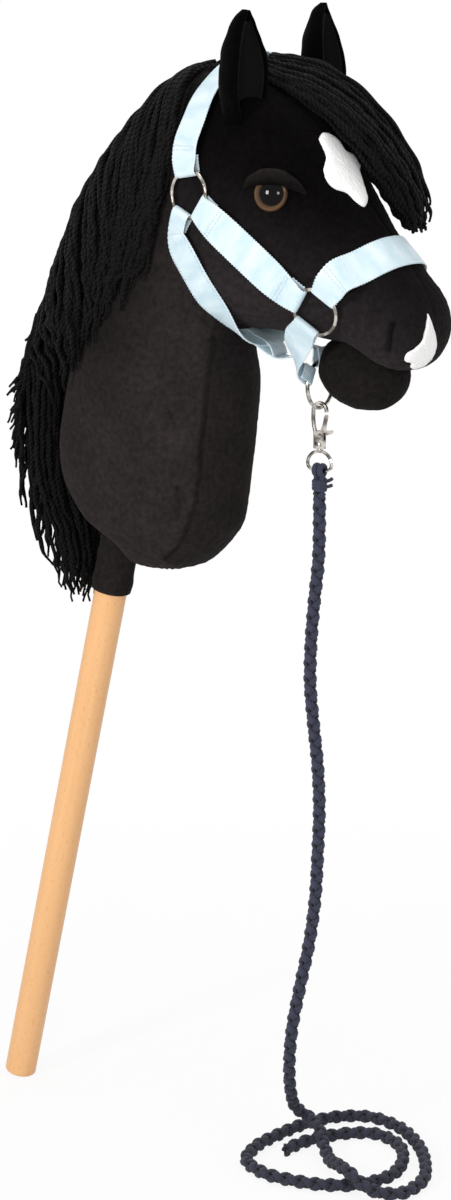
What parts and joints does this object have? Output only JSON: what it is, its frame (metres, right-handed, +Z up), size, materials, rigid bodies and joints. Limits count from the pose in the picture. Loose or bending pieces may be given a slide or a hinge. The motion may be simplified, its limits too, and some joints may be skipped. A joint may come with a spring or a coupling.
{
  "type": "hobby horse",
  "caption": "Stick toy with a stuffed horse's head and neck on a round wooden stick, in a webbing halter with rings and a braided lead rope on a swivel trigger snap.",
  "frame": {"origin": "centre of the stick's flat foot, whose lower edge touches the floor", "axes": "+Z up, +X the way the horse faces, +Y to its left; the stick leans forward, towards +X, by 13.4 degrees"},
  "size_m": [0.3961, 0.1502, 0.8537],
  "materials": {
    "black_plush": "short brushed pile",
    "white_plush": "short brushed pile",
    "black_yarn": "matte twisted yarn",
    "blue_webbing": "satin-faced tape",
    "navy_rope": "matte braid",
    "nickel": "nickel plated, polished",
    "eye_plastic": "glossy, amber brown with a black pupil",
    "washer_plastic": "moulded",
    "beech": "sanded, unvarnished"
  },
  "bodies": {
    "horse": {"cheek_strap_left": "blue_webbing", "cheek_strap_right": "blue_webbing", "chin_ring": "nickel", "chin_strap_left": "blue_webbing", "chin_strap_right": "blue_webbing", "connecting_strap": "blue_webbing", "crown_strap": "blue_webbing", "ear_left": "black_plush", "ear_lining_left": "black_plush", "ear_lining_right": "black_plush", "ear_right": "black_plush", "eye_left": "eye_plastic", "eye_right": "eye_plastic", "eye_washer_left": "washer_plastic", "eye_washer_right": "washer_plastic", "eyelid_left": "black_plush", "eyelid_right": "black_plush", "forelock": "black_yarn", "head": "black_plush", "lower_jaw": "black_plush", "lower_ring_left": "nickel", "lower_ring_right": "nickel", "mane_back": "black_yarn", "mane_left": "black_yarn", "mane_right": "black_yarn", "neck": "black_plush", "noseband": "blue_webbing", "snip_patch": "white_plush", "star_patch": "white_plush", "stick": "beech", "stick_sleeve": "black_plush", "throat_strap": "blue_webbing", "upper_ring_left": "nickel", "upper_ring_right": "nickel"},
    "lead_snap": {"snap_body": "nickel", "gate_rivet": "nickel"},
    "snap_gate": {"snap_gate": "nickel"},
    "swivel": {"swivel_loop": "nickel", "rope_hitch": "navy_rope"},
    "lead_rope": {"lead_rope": "navy_rope"}
  },
  "joints": [
    {"name": "snap_swing", "type": "hinge", "parent": "horse", "child": "lead_snap", "pos_m": [0.2875, 0, 0.571], "axis": [0, 1, 0], "range_deg": [-40, 40]},
    {"name": "gate", "type": "hinge", "parent": "lead_snap", "child": "snap_gate", "pos_m": [0.2884, 0, 0.551], "axis": [0, 1, 0], "range_deg": [-25, 0], "stiffness_Nm_per_rad": 0.0015, "springref_deg": 11.46},
    {"name": "swivel_spin", "type": "hinge", "parent": "lead_snap", "child": "swivel", "pos_m": [0.2875, 0, 0.541], "axis": [0, 0, 1], "continuous": true},
    {"name": "rope_hang", "type": "hinge", "parent": "lead_snap", "child": "lead_rope", "pos_m": [0.2875, 0, 0.5047], "axis": [0, 1, 0], "range_deg": [-40, 40]}
  ],
  "couplings": [
    {"joint": "snap_swing", "follows": "rope_hang", "ratio": -1}
  ]
}
